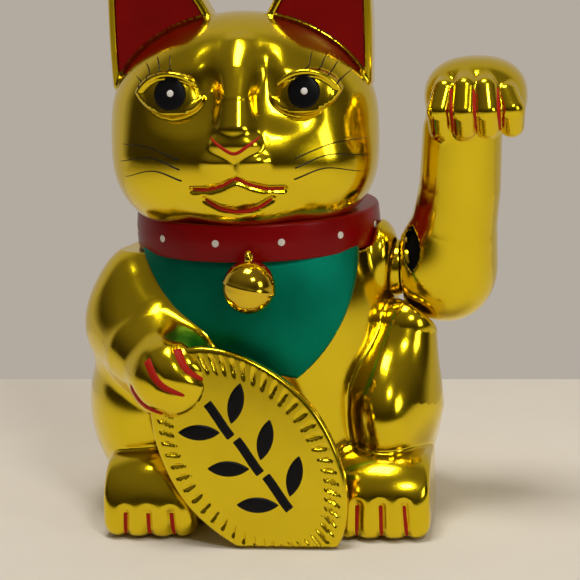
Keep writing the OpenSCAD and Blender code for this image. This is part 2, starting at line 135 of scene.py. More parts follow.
def flat_distance(p, pairs):
    """Distance seen from the front to a line through (x, z) pairs."""
    q = p[:, [0, 2]]
    best = np.full(len(p), 1e6)
    for a, b in zip(pairs, pairs[1:]):
        a, b = vec(*a), vec(*b)
        axis = b - a
        share = np.clip((q - a) @ axis / (axis @ axis), 0, 1)
        best = np.minimum(best, np.linalg.norm(q - a - share[:, None] * axis, axis=1))
    return best


def press(p, d, pairs, width, depth):
    """Groove pressed into the front along a line of (x, z) pairs."""
    return d + depth * np.exp(-(flat_distance(p, pairs) / width) ** 2) * (p[:, 1] < SEAM_Y)


def dent(p, d, centre, size, depth):
    """Smooth hollow in the front round an (x, z) centre."""
    u = (p[:, 0] - centre[0]) / size[0]
    w = (p[:, 2] - centre[1]) / size[1]
    return d + depth * np.exp(-u * u - w * w) * (p[:, 1] < SEAM_Y)


def squared_ball(p, centre, radii, power):
    """Ellipsoid with fuller corners; a power of 2 gives the plain one."""
    q = p - vec(*centre)
    size = np.sum(np.abs(q / vec(*radii)) ** power, axis=1) ** (1 / power) + 1e-9
    return (size - 1) * np.linalg.norm(q, axis=1) / size


def within(p, low, high, values, change):
    """Applies change(points, values) only to the points inside a box."""
    inside = np.all((p > vec(*low)) & (p < vec(*high)), axis=1)
    result = values.copy()
    if inside.any():
        result[inside] = change(p[inside], values[inside])
    return result


# ---------------------------------------------------------------- head
EYE_Z = 140.6
EYE_OUT = 20.8
EYE_HALF = (10.6, 6.3)
EYE_Y = -41.5
EYE_TILT = 0.05
EYE_RIM = 1.0


def eye_lens(p, side):
    """Almond outline of an eye as a flat distance, and the place across the eye."""
    across = (p[:, 0] - FACE_X) * side - EYE_OUT
    high = p[:, 2] - EYE_Z - EYE_TILT * across
    length, height = EYE_HALF
    radius = (length * length + height * height) / (2 * height)
    drop = radius - height
    upper = np.hypot(across, high + drop) - radius
    lower = np.hypot(across, high - drop) - radius
    return np.maximum(upper, lower), across


def face_depth(across):
    """How far the eye's rim lies back as the face curves away to the side."""
    return EYE_Y + 0.10 * across + 0.012 * across * across


def add_eye(p, d, side):
    """Socket, domed eyeball and raised almond rim of one eye."""
    lens, across = eye_lens(p, side)
    depth = face_depth(across)
    socket = ellipsoid(p, (FACE_X + side * (EYE_OUT - 1), EYE_Y - 6, EYE_Z), (15, 8.0, 9.6))
    d = carve(d, socket, 5)
    dome = ellipsoid(p, (FACE_X + side * EYE_OUT, EYE_Y + 7.0, EYE_Z - 9), (13.5, 9.6, 20))
    d = join(d, np.maximum(dome, lens), 0.6)
    rim = np.hypot(lens, (p[:, 1] - depth) * 0.8) - EYE_RIM
    return join(d, rim, 1.0)


def face_pairs(pairs):
    """Shifts (x, z) pairs from the middle of the face to the figure's frame."""
    return [(FACE_X + x, z) for x, z in pairs]


UPPER_LIP = face_pairs([(-14.2, 111.6), (-9.5, 111.8), (-4.5, 113.2), (0, 115.2), (4.5, 113.2), (9.5, 111.8),
                        (14.2, 111.6)])
LOWER_LIP = face_pairs([(-10.5, 108.6), (-6, 105.8), (0, 104.6), (6, 105.8), (10.5, 108.6)])
NOSE_LINE = face_pairs([(-7.6, 128.0), (-4.4, 125.7), (0, 123.4), (4.4, 125.7), (7.6, 128.0)])
PHILTRUM = face_pairs([(0, 122.4), (0, 115.6)])


def nose(p, d):
    """Bridge between the eyes, a hollow on each side of it, and the tip."""
    ridge = strand(p, [(FACE_X, -31.3, 153), (FACE_X, -38.2, 146), (FACE_X, -43.4, 138), (FACE_X, -46, 130)],
                   [3.0, 3.8, 4.4, 5.6])
    d = join(d, ridge, 4)
    for side in (-1, 1):
        d = dent(p, d, (FACE_X + side * 8.8, 145.5), (3.4, 6.0), 2.2)
    tip = ellipsoid(p, (FACE_X, -47.6, 125.2), (8.4, 4.6, 4.8))
    return join(d, tip, 1.2)


def mouth(p, d):
    """Muzzle, chin, whisker pads and lips."""
    d = join(d, ellipsoid(p, (FACE_X, -38.5, 117.5), (19, 12, 13)), 8)
    d = join(d, ellipsoid(p, (FACE_X, -37, 107), (17.5, 10, 8.5)), 5)
    for side in (-1, 1):
        d = join(d, ellipsoid(p, (FACE_X + side * 5.4, -48.4, 120.2), (4.6, 3.2, 2.8)), 2)
    lip = ellipsoid(p, (FACE_X, -46.2, 109.6), (9.5, 2.6, 3.4))
    d = join(d, lip, 1.5)
    d = press(p, d, UPPER_LIP, 1.1, 1.1)
    d = press(p, d, LOWER_LIP, 1.2, 0.9)
    return press(p, d, PHILTRUM, 0.9, 0.5)


def face(p, d):
    d = mouth(p, d)
    for side in (-1, 1):
        d = add_eye(p, d, side)
    return nose(p, d)


EAR_BACK = -6.0
EAR_FRONT = -17.6
EAR_RIM = 2.4
EAR_RECESS = 1.2
EAR_ROOT_IN = 8.0
EAR_ROOT_OUT = 42.0
EAR_ROOT_Z = 146.0
EAR_TIP_X = 39.0
EAR_TOP = 195.0
EAR_SUNK_Z = 140.0      # the ears start inside the skull
PANEL_GAP = 0.15
PANEL_FACE = 0.5        # how far the panel's face lies behind the front of the ear
PANEL_DEEP = 1.6


def bow_distance(x, z, start, end, rise):
    """Signed distance to the arc from start to end, which bulges to the left of its way by `rise`."""
    start, end = vec(*start), vec(*end)
    chord = end - start
    length = np.linalg.norm(chord)
    left = vec(-chord[1], chord[0]) / length
    radius = (length * length / 4 + rise * rise) / (2 * rise)
    middle = (start + end) / 2 - left * (radius - rise)
    return np.hypot(x - middle[0], z - middle[1]) - radius


def ear_outline(p, side):
    """Flat distances to the bowed inner edge and to the nearly straight outer edge of an ear."""
    x = (p[:, 0] - HEAD_X) * side
    z = p[:, 2]
    inner = bow_distance(x, z, (EAR_ROOT_IN, EAR_ROOT_Z + 15), (EAR_TIP_X, EAR_TOP), 3.5)
    outer = bow_distance(x, z, (EAR_TIP_X + 1.5, EAR_TOP), (EAR_ROOT_OUT, EAR_ROOT_Z), 0.8)
    return inner, np.maximum(outer, EAR_SUNK_Z - z)


def ear(p, side):
    """Flat ear with a shallow recess for its red panel."""
    inner, outer = ear_outline(p, side)
    flat_d = overlap(inner, outer, 1.5)
    y_mid = (EAR_FRONT + EAR_BACK) / 2
    deep = np.abs(p[:, 1] - y_mid) - (EAR_BACK - EAR_FRONT) / 2
    slab = overlap(flat_d, deep, 2.0)
    inset = flat_d + EAR_RIM
    recess = np.maximum(inset, p[:, 1] - (EAR_FRONT + EAR_RECESS))
    return carve(slab, recess, 0.5)


SKULL_MID = (HEAD_X, -12, HEAD_MID)
SKULL_DEPTH = 34.0
CHEEKS_OUT = (16.8, -15.2)
CHEEK_RADII = (25.8, 25.5, 20.8)
JAW = ((HEAD_X, -10.5, 113), (39.5, 31.5, 25))
FACE_BOX = ((-46, -60, 96), (46, -22, 162))


def head_field(p):
    d = ellipsoid(p, SKULL_MID, (HEAD_W / 2 - 0.4, SKULL_DEPTH, HEAD_TOP - HEAD_MID))
    for out in CHEEKS_OUT:
        d = join(d, ellipsoid(p, (HEAD_X + out, -20, 116), CHEEK_RADII), 8)
    d = join(d, ellipsoid(p, *JAW), 6)
    d = within(p, *FACE_BOX, d, face)
    for side in (-1, 1):
        d = join(d, ear(p, side), 1.2)
    return np.maximum(d, NECK_Z - p[:, 2])


# ---------------------------------------------------------------- body
# Bulges of the body, each given by its middle and its radii.
TRUNK = ((0, -4, 62), (45.8, 39.6, 60))
HIPS = ((0, -1, 27), (51.5, 41.5, 63))
RIGHT_THIGH = ((-36, -8, 35.5), (21.5, 33, 31))
LEFT_THIGH = ((43, -9, 34), (16.5, 34.5, 26))
LEFT_SHOULDER = ((40.5, -8, 82), (6.2, 12.5, 13))
TAIL = ((0, 36, 18), (10, 9, 13))
NECK_R = 36.0
SHOULDER_ROOM = (17.7, 18.3, 19.1)      # hollow in the body round the ball of the raised arm
BUSH_HOLE_R = 8.1
BUSH_HOLE_START = 36.0

FEET = ((42.5, 9.5), (-31.5, 6.5))      # middle of each foot and height of its toes
FOOT_FRONT = -55.0
FOOT_TOP = 27.2
FOOT_HALF_W = 15.2
FOOT_HALF_L = 19.0
FOOT_ROUNDING = 6.0
FOOT_ARCH = 20.0                        # how far back the front's curve meets the top
FOOT_SIDE_ARCH = 0.55                   # how much the sides share in that curve
TOE_STEP = 7.4
TOE_REACH = 12.0


def toe_line(mid_x, toe_top, i):
    """Front view of the cleft between two toes."""
    x = mid_x + i * TOE_STEP
    return [(x, toe_top + 2.5), (x + 0.3 * i, 0.6 * toe_top), (x + 0.5 * i, 1)]


def foot(p, d, mid_x, toe_top):
    """Adds a block foot with a quarter-round front and three clefts between its toes."""
    middle = (mid_x, FOOT_FRONT + FOOT_HALF_L + 0.5, FOOT_TOP / 2 - 0.2)
    box = rounded_box(p, middle, (FOOT_HALF_W, FOOT_HALF_L, FOOT_TOP / 2 + 0.2), FOOT_ROUNDING)
    rise = FOOT_TOP - toe_top
    back = np.minimum(p[:, 1] - FOOT_FRONT - 0.3 - FOOT_ARCH, 0) / FOOT_ARCH
    up = np.maximum(p[:, 2] - toe_top, 0) / rise
    aside = FOOT_SIDE_ARCH * (p[:, 0] - mid_x) / FOOT_HALF_W
    arch = (np.sqrt(back * back + up * up + aside * aside) - 1) * rise
    plain = overlap(box, arch, 2)
    toes = plain
    for i in (-1, 0, 1):
        toes = press(p, toes, toe_line(mid_x, toe_top, i), 1.6, 1.5)
    return join(d, np.where(p[:, 1] < FOOT_FRONT + TOE_REACH, toes, plain), 1.2)


# Clefts between the fingers of the resting paw, as (x, z) pairs seen from the front.
RIGHT_CLAWS = [
    [(-28.4, 60.0), (-24, 53.5), (-16.8, 49.4)],
    [(-19.2, 63.0), (-16, 57.5), (-11.4, 53.6)],
    [(-34.8, 50.4), (-30.5, 45.8), (-24.4, 43.0)],
]


def right_arm(p, d):
    """Adds the resting arm, its elbow out and its paw on the coin."""
    upper = ellipsoid(p, (-39, -16, 65), (15.2, 18.5, 23.8))
    fore = strand(p, [(-40, -20, 63), (-33, -34, 58), (-23, -47, 52.5)], [14.5, 14, 12.5])
    arm = join(upper, fore, 8)
    arm = join(arm, ellipsoid(p, (-22, -50.2, 52), (13.2, 11, 12.8)), 4)
    inner = strand(p, [(-33, -22, 74), (-27, -30, 66), (-20, -36, 57)], [8.5, 10.5, 12])
    arm = join(arm, inner, 6)
    for line in RIGHT_CLAWS:
        arm = press(p, arm, line, 1.6, 0.6)
    return join(d, arm, 4)


def from_pivot(p):
    """Distance from the line that the raised arm swings about."""
    return np.hypot(p[:, 1] - PIVOT[1], p[:, 2] - PIVOT[2])


def left_thigh(p):
    """Pear-shaped thigh, hollowed round the ball of the raised arm."""
    haunch = strand(p, [(44, -20, 40), (49, -16, 61)], [16.5, 10])
    thigh = join(haunch, ellipsoid(p, *LEFT_THIGH), 5)
    return carve(thigh, ellipsoid(p, PIVOT, SHOULDER_ROOM), 3)


def from_neck(p):
    """Distance from the upright line through the middle of the neck and collar."""
    return np.hypot(p[:, 0] - COLLAR_MID[0], p[:, 1] - COLLAR_MID[1])


def collar_surface(p):
    """Signed distance to the upright round wall that the collar's outside lies on."""
    return from_neck(p) - COLLAR_R


def left_shoulder(p):
    """Rounded shoulder that rises beside the collar."""
    return carve(ellipsoid(p, *LEFT_SHOULDER), collar_surface(p) - 0.5, 0.5)


def chest_field(p):
    return join(ellipsoid(p, *TRUNK), ellipsoid(p, *HIPS), 6)


def body_field(p):
    d = join(chest_field(p), left_thigh(p), 1.2)
    d = join(d, ellipsoid(p, *RIGHT_THIGH), 1.2)
    for middle, top in FEET:
        d = within(p, (middle - 20, -60, -5), (middle + 20, 0, 34), d, lambda q, e: foot(q, e, middle, top))
    d = within(p, (-60, -66, 30), (0, 10, 92), d, right_arm)
    d = join(d, ellipsoid(p, *TAIL), 3)
    neck = np.maximum(from_neck(p) - NECK_R, p[:, 2] - NECK_Z)
    d = join(np.maximum(d, p[:, 2] - SHOULDER_Z), neck, 0.6)
    d = join(d, left_shoulder(p), 3)
    d = overlap(d, BASE_Z - p[:, 2], 1.0)
    hole = np.maximum(from_pivot(p) - BUSH_HOLE_R, BUSH_HOLE_START - p[:, 0])
    return np.maximum(d, -hole)


# ---------------------------------------------------------------- raised arm
RAISED_CLAWS = (65.6, 72.9, 80.2)
FIST = ((72.4, -15.0, 135.4), (16.2, 15.5, 12.6))
FIRST_FINGER_X = 62.0
FINGER_STEP = 7.3
FINGER_FAN = 0.62       # how close together the fingers start, as a share of their step
FINGERS = ((2.6, 1.0), (0.0, 0.0), (0.4, 0.4), (3.2, 2.6))      # how far each one lies back and droops
FINGER_RADII = (3.2, 4.0, 4.3, 3.9)
ARM_BALL = (15.3, 15.3, 16.4)
ARM_LINE = [(59.8, -8.5, 80), (64.4, -11.5, 92), (66.8, -13.8, 106), (68.0, -15.8, 124)]
ARM_RADII = (14.6, 13.8, 13.0, 12.6)
OPENING_R = 10.6
OPENING_END = 58.0
SLOT_DEPTH = 1.8
SLOT_HALF = (2.9, 7.0)
SLOT_AT = (51.4, 87.2)
SLOT_BACK = -9.0


def raised_claw(x):
    """Front view of the cleft between two fingers of the fist."""
    return [(x - 0.3, 139.5), (x, 133), (x + 0.2, 126.0)]


def fist(p, d):
    """Adds a full palm with four fingers that fan out from its top and curl over its front."""
    palm = squared_ball(p, *FIST, 2.3)
    middle = FIST[0][0]
    for i, (back, droop) in enumerate(FINGERS):
        x = FIRST_FINGER_X + i * FINGER_STEP
        top_x = middle + (x - middle) * FINGER_FAN
        knuckle_x = 0.4 * top_x + 0.6 * x
        line = [(top_x, -20 + back, 143.6 - droop), (knuckle_x, -29.5 + back, 139.6 - droop),
                (x, -32.2 + back, 132.5), (x, -29.0 + back, 127.4)]
        palm = join(palm, strand(p, line, FINGER_RADII), 0.7)
    return join(d, palm, 2.0)


def slot_window(p):
    """Upright pointed opening in the arm's inner edge, cut from the front."""
    half_w, half_h = SLOT_HALF
    radius = (half_w * half_w + half_h * half_h) / (2 * half_w)
    x, z = p[:, 0] - SLOT_AT[0], p[:, 2] - SLOT_AT[1]
    off = radius - half_w
    lens = np.maximum(np.hypot(x - off, z), np.hypot(x + off, z)) - radius
    return np.maximum(lens, p[:, 1] - SLOT_BACK)


def arm_field(p):
    d = join(ellipsoid(p, PIVOT + vec(0, 0.5, -0.8), ARM_BALL), strand(p, ARM_LINE, ARM_RADII), 8)
    d = within(p, (50, -45, 112), (95, 15, 155), d, fist)
    opening = np.maximum(from_pivot(p) - OPENING_R, p[:, 0] - OPENING_END)
    # The slot is only a shallow pocket; its floor and sides get painted shade (black) in place of the dark of
    # a deeper opening.
    pocket = np.maximum(slot_window(p), -d - SLOT_DEPTH)
    return carve(carve(d, opening, 0.5), pocket, 0.5)


# ---------------------------------------------------------------- meshes from fields
def gradient(field, p, step=0.05):
    """Slope of a field along each axis, by central differences."""
    g = np.empty_like(p)
    for axis in range(3):
        shift = np.zeros(3)
        shift[axis] = step
        g[:, axis] = (field(p + shift) - field(p - shift)) / (2 * step)
    return g


def settle(field, p, rounds=4):
    """Moves points onto the zero level of a field."""
    for _ in range(rounds):
        g = gradient(field, p)
        p = p - g * (np.clip(field(p), -1, 1) / (np.sum(g * g, axis=1) + 1e-9))[:, None]
    return p


def grid_values(field, axes):
    """Field values on a grid, worked out one slice of heights at a time."""
    shape = [len(a) for a in axes]
    values = np.empty(shape)
    x, y = np.meshgrid(axes[0], axes[1], indexing="ij")
    for k, z in enumerate(axes[2]):
        p = np.stack([x.ravel(), y.ravel(), np.full(x.size, z)], axis=1)
        values[:, :, k] = field(p).reshape(shape[:2])
    return values


EDGES = [(axis, offset) for axis in range(3) for offset in ((0, 0), (0, 1), (1, 0), (1, 1))]


def net_points(values, axes, cell):
    """One point in every grid cell that the surface crosses, and the number of each cell."""
    cells = tuple(n - 1 for n in values.shape)
    total = np.zeros(cells + (3,))
    count = np.zeros(cells)
    for axis, offset in EDGES:
        others = [a for a in range(3) if a != axis]
        low = [slice(0, n) for n in cells]
        for other, o in zip(others, offset):
            low[other] = slice(o, cells[other] + o)
        high = list(low)
        high[axis] = slice(1, cells[axis] + 1)
        a, b = values[tuple(low)], values[tuple(high)]
        crossed = (a < 0) != (b < 0)
        share = np.where(crossed, a / np.where(crossed, a - b, 1), 0)
        place = [np.zeros(cells) for _ in range(3)]
        place[axis] = share
        for other, o in zip(others, offset):
            place[other] = np.full(cells, float(o))
        for i in range(3):
            total[..., i] += np.where(crossed, place[i], 0)
        count += crossed
    active = count > 0
    numbers = np.full(cells, -1)
    numbers[active] = np.arange(active.sum())
    corner = np.stack(np.meshgrid(*[a[:-1] for a in axes], indexing="ij"), axis=-1)
    points = corner[active] + cell * total[active] / count[active][:, None]
    return points, numbers


def net_faces(values, numbers):
    """One four-sided face round every grid edge that the surface crosses."""
    faces = []
    for axis in range(3):
        b, c = (axis + 1) % 3, (axis + 2) % 3
        core = [slice(None)] * 3
        core[b], core[c] = slice(1, -1), slice(1, -1)
        ahead = list(core)
        core[axis], ahead[axis] = slice(0, -1), slice(1, None)
        first, second = values[tuple(core)] < 0, values[tuple(ahead)] < 0
        for start, flip in ((first & ~second, False), (~first & second, True)):
            i = np.argwhere(start)
            quad = []
            for db, dc in ((0, 0), (1, 0), (1, 1), (0, 1)):
                cell_at = i.copy()
                cell_at[:, b] += db
                cell_at[:, c] += dc
                quad.append(numbers[tuple(cell_at.T)])
            quad = np.stack(quad, axis=1)
            faces.append(quad[:, ::-1] if flip else quad)
    return np.concatenate(faces)


def mesh_object(name, points, faces, materials):
    """Smooth-shaded object from points in millimetres."""
    mesh = bpy.data.meshes.new(name)
    mesh.from_pydata((np.asarray(points) * MM).tolist(), [], [list(map(int, f)) for f in faces])
    mesh.update()
    mesh.polygons.foreach_set("use_smooth", [True] * len(mesh.polygons))
    for material in materials:
        mesh.materials.append(material)
    piece = bpy.data.objects.new(name, mesh)
    bpy.context.scene.collection.objects.link(piece)
    return piece


def skin(name, field, low, high, cell, materials):
    """Closed mesh on the zero level of a field."""
    axes = [np.arange(low[i], high[i] + cell, cell) for i in range(3)]
    values = grid_values(field, axes)
    points, numbers = net_points(values, axes, cell)
    faces = net_faces(values, numbers)
    points = settle(field, points)
    piece = mesh_object(name, points, faces, materials)
    piece.data.normals_split_custom_set_from_vertices(normals_at(field, points).tolist())
    return piece


# ---------------------------------------------------------------- painted details
def cast(field, p, direction, steps=60):
    """Slides points along a direction until they meet the surface."""
    p = p.copy()
    for _ in range(steps):
        p += np.clip(field(p), -2, 4)[:, None] * 0.7 * direction
    return p


def normals_at(field, p):
    """Outward unit normals of a field's surface."""
    g = gradient(field, p)
    return g / (np.linalg.norm(g, axis=1)[:, None] + 1e-9)


def smooth_path(points, count):
    """Points of a smooth curve through the given ones."""
    pts = np.asarray(points, dtype=float)
    ext = np.vstack([2 * pts[0] - pts[1], pts, 2 * pts[-1] - pts[-2]])
    spans = len(pts) - 1
    out = []
    for t in np.linspace(0, spans, count):
        i = min(int(t), spans - 1)
        f = t - i
        a, b, c, d = ext[i:i + 4]
        curved = (2 * a - 5 * b + 4 * c - d) * f * f + (3 * b - 3 * c + d - a) * f ** 3
        out.append((2 * b + (c - a) * f + curved) / 2)
    return np.array(out)


# Section of a painted line: (share of its half-width, height over the surface).
STROKE_SECTION = [(-1, -0.3), (-0.75, 0.22), (0, 0.34), (0.75, 0.22), (1, -0.3)]
SPOT_RINGS = 6
SPOT_AROUND = 40
SPOT_SUNK = 0.3
SPOT_EDGE_FALL = 0.6


def stroke(field, path, widths, direction):
    """Points and faces of a low painted line along a path laid on the surface."""
    path = cast(field, path, direction)
    normals = normals_at(field, path)
    ahead = np.gradient(path, axis=0)
    ahead /= np.linalg.norm(ahead, axis=1)[:, None]
    side = np.cross(normals, ahead)
    count, around = len(path), len(STROKE_SECTION)
    points = np.concatenate([
        path + side * (s * widths / 2)[:, None] + normals * h for s, h in STROKE_SECTION
    ]).reshape(around, count, 3).transpose(1, 0, 2).reshape(-1, 3)
    faces = []
    for i in range(count - 1):
        for k in range(around):
            a, b = i * around + k, i * around + (k + 1) % around
            faces.append((a, b, b + around, a + around))
    faces.append(tuple(range(around))[::-1])
    faces.append(tuple((count - 1) * around + k for k in range(around)))
    return points, faces


def spot(field, centre, radius, direction, lift=0.15):
    """Points and faces of a low round painted spot on the surface."""
    direction = vec(*direction)
    across = np.cross(direction, (0, 0, 1.0))
    across /= np.linalg.norm(across)
    up = np.cross(across, direction)
    rings, around = SPOT_RINGS, SPOT_AROUND
    turns = np.linspace(0, 2 * np.pi, around, endpoint=False)
    flat = [vec(*centre)[None, :]]
    for r in range(1, rings + 1):
        share = radius * r / rings
        flat.append(vec(*centre) + share * (np.cos(turns)[:, None] * across + np.sin(turns)[:, None] * up))
    flat = np.concatenate(flat)
    top = cast(field, flat, direction)
    normals = normals_at(field, top)
    share = np.linalg.norm(flat - vec(*centre), axis=1) / radius
    low = top[-around:] - normals[-around:] * SPOT_SUNK
    top = top + normals * (lift * (1 - SPOT_EDGE_FALL * share ** 6))[:, None]
    points = np.concatenate([top, low])
    faces = [(0, 1 + k, 1 + (k + 1) % around) for k in range(around)]
    for r in range(rings):
        for k in range(around):
            a = 1 + r * around + k
            b = 1 + r * around + (k + 1) % around
            faces.append((a, a + around, b + around, b))
    faces.append(tuple(1 + rings * around + k for k in range(around))[::-1])
    return points, faces


def merged(name, parts, materials):
    """One object from several lots of points and faces."""
    points, faces, start = [], [], 0
    for part_points, part_faces in parts:
        points.append(part_points)
        faces += [tuple(i + start for i in f) for f in part_faces]
        start += len(part_points)
    return mesh_object(name, np.concatenate(points), faces, materials)


def taper(count, width, tip, both):
    """Widths along a line that thins towards both ends, or towards its far end only."""
    t = np.linspace(0, 1, count)
    shape = np.sin(np.pi * t) ** 0.5 if both else (1 - t) ** 0.5
    return width * (tip + (1 - tip) * shape)


BACKWARD = vec(0, 1, 0)
IN_FRONT = -70.0


def front_line(field, pairs, width, tip, both, count):
    """Painted line through (x, z) pairs, laid onto the surface from well in front of it."""
    path = smooth_path([(x, IN_FRONT, z) for x, z in pairs], count)
    return stroke(field, path, taper(count, width, tip, both), BACKWARD)


def settle_in(piece, body):
    """Fixes a piece to a body."""
    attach(piece, body)


# ---------------------------------------------------------------- turned pieces
def lathe(name, profile, centre, axis, materials, around=96, closed=False):
    """Turned piece: profile points are (along the axis, radius)."""
    axis = vec(*axis)
    side = np.cross(axis, (0.3, 0.1, 0.9))
    side /= np.linalg.norm(side)
    other = np.cross(axis, side)
    turns = np.linspace(0, 2 * np.pi, around, endpoint=False)
    rows = [vec(*centre) + along * axis + r * (np.cos(turns)[:, None] * side + np.sin(turns)[:, None] * other)
            for along, r in profile]
    points = np.concatenate(rows)
    faces = []
    last = len(profile) if closed else len(profile) - 1
    for i in range(last):
        j = (i + 1) % len(profile)
        for k in range(around):
            n = (k + 1) % around
            faces.append((i * around + k, i * around + n, j * around + n, j * around + k))
    if not closed:
        faces.append(tuple(range(around))[::-1])
        faces.append(tuple((len(profile) - 1) * around + k for k in range(around)))
    return mesh_object(name, points, faces, materials)


def rounded_profile(corners, radius, steps=5):
    """Closed outline with every corner rounded."""
    out = []
    count = len(corners)
    for i in range(count):
        a, b, c = (vec(*corners[(i + k) % count]) for k in (-1, 0, 1))
        r = min(radius, np.linalg.norm(a - b) / 2.2, np.linalg.norm(c - b) / 2.2)
        start = b + (a - b) / np.linalg.norm(a - b) * r
        end = b + (c - b) / np.linalg.norm(c - b) * r
        for t in np.linspace(0, 1, steps):
            out.append(tuple((1 - t) ** 2 * start + 2 * t * (1 - t) * b + t * t * end))
    return out


# ---------------------------------------------------------------- materials
def new_material(name):
    material = bpy.data.materials.new(name)
    material.use_nodes = True
    return material, material.node_tree.nodes, material.node_tree.links


def noise(nodes, links, scale, detail=4.0, rough=0.5):
    """Noise texture in the piece's own frame."""
    place = nodes.new("ShaderNodeTexCoord")
    texture = nodes.new("ShaderNodeTexNoise")
    texture.inputs["Scale"].default_value = scale
    texture.inputs["Detail"].default_value = detail
    texture.inputs["Roughness"].default_value = rough
    links.new(place.outputs["Object"], texture.inputs["Vector"])
    return texture


def ranged(nodes, links, source, low, high, from_low=0.3, from_high=0.7):
    """Maps a value from one range to another."""
    mapped = nodes.new("ShaderNodeMapRange")
    mapped.inputs["From Min"].default_value = from_low
    mapped.inputs["From Max"].default_value = from_high
    mapped.inputs["To Min"].default_value = low
    mapped.inputs["To Max"].default_value = high
    links.new(source, mapped.inputs["Value"])
    return mapped.outputs["Result"]


def mixed_colour(nodes, links, factor, first, second):
    """Blend of two colours, each given as a tuple or as a socket."""
    mix = nodes.new("ShaderNodeMix")
    mix.data_type = "RGBA"
    for socket, value in ((mix.inputs[6], first), (mix.inputs[7], second)):
        if isinstance(value, tuple):
            socket.default_value = (*value, 1)
        else:
            links.new(value, socket)
    links.new(factor, mix.inputs[0])
    return mix.outputs[2]


def bumped(nodes, links, height, strength, distance, normal=None):
    bump = nodes.new("ShaderNodeBump")
    bump.inputs["Strength"].default_value = strength
    bump.inputs["Distance"].default_value = distance
    links.new(height, bump.inputs["Height"])
    if normal is not None:
        links.new(normal, bump.inputs["Normal"])
    return bump.outputs["Normal"]


CLOUD_SCALE = 55.0
SMEAR_SCALE = 140.0
WAVE_SCALE = 18.0
GLOSS_SPREAD = 0.05


def surface(name, colour, dark, roughness, metallic=0.0, coat=0.0, grain=900.0, grain_depth=0.02,
            wave_depth=0.0, specular=0.5):
    """Painted, plated or moulded finish with cloudy colour, uneven gloss and fine grain."""
    material, nodes, links = new_material(name)
    shader = nodes["Principled BSDF"]
    clouds = noise(nodes, links, CLOUD_SCALE)
    factor = ranged(nodes, links, clouds.outputs["Fac"], 0.0, 1.0)
    links.new(mixed_colour(nodes, links, factor, colour, dark), shader.inputs["Base Color"])
    smears = noise(nodes, links, SMEAR_SCALE, 6.0, 0.65)
    rough = ranged(nodes, links, smears.outputs["Fac"], roughness, roughness + GLOSS_SPREAD, 0.45, 0.75)
    links.new(rough, shader.inputs["Roughness"])
    shader.inputs["Metallic"].default_value = metallic
    shader.inputs["Specular IOR Level"].default_value = specular
    shader.inputs["Coat Weight"].default_value = coat
    shader.inputs["Coat Roughness"].default_value = 0.04
    fine = noise(nodes, links, grain, 2.0)
    normal = bumped(nodes, links, fine.outputs["Fac"], grain_depth, 0.0002)
    if wave_depth:
        wide = noise(nodes, links, WAVE_SCALE, 2.0)
        normal = bumped(nodes, links, wide.outputs["Fac"], wave_depth, 0.002, normal)
    links.new(normal, shader.inputs["Normal"])
    return material


GOLD = surface("plated_gold", (0.81, 0.61, 0.008), (0.77, 0.57, 0.006), 0.15, metallic=1.0,
               coat=0.3, grain=1600.0, grain_depth=0.012, wave_depth=0.05)
BELL_GOLD = surface("bell_gold", (0.78, 0.55, 0.02), (0.70, 0.48, 0.015), 0.12, metallic=1.0, coat=0.3)
EAR_RED = surface("ear_red", (0.25, 0.001, 0.001), (0.19, 0.001, 0.001), 0.32, coat=0.04, specular=0.12)
COLLAR_RED = surface("collar_red", (0.28, 0.001, 0.003), (0.20, 0.001, 0.002), 0.28, coat=0.03, specular=0.12)
BIB_GREEN = surface("bib_green", (0.0, 0.25, 0.15), (0.0, 0.18, 0.11), 0.40, metallic=0.8, grain=4200.0,
                    grain_depth=0.35, specular=0.15)
PAINT_BLACK = surface("paint_black", (0.004, 0.004, 0.005), (0.007, 0.007, 0.008), 0.36, specular=0.12)
PAINT_RED = surface("paint_red", (0.50, 0.018, 0.004), (0.40, 0.012, 0.004), 0.5, specular=0.15)
PAINT_WHITE = surface("paint_white", (0.82, 0.80, 0.76), (0.76, 0.74, 0.70), 0.35)
# Painted shade: a flat black laid inside the raised arm's opening and slot pocket, where only shade falls.
SHADOW_BLACK = surface("hollow_painted_shade", (0.004, 0.004, 0.004), (0.006, 0.006, 0.006), 0.6, specular=0.03)

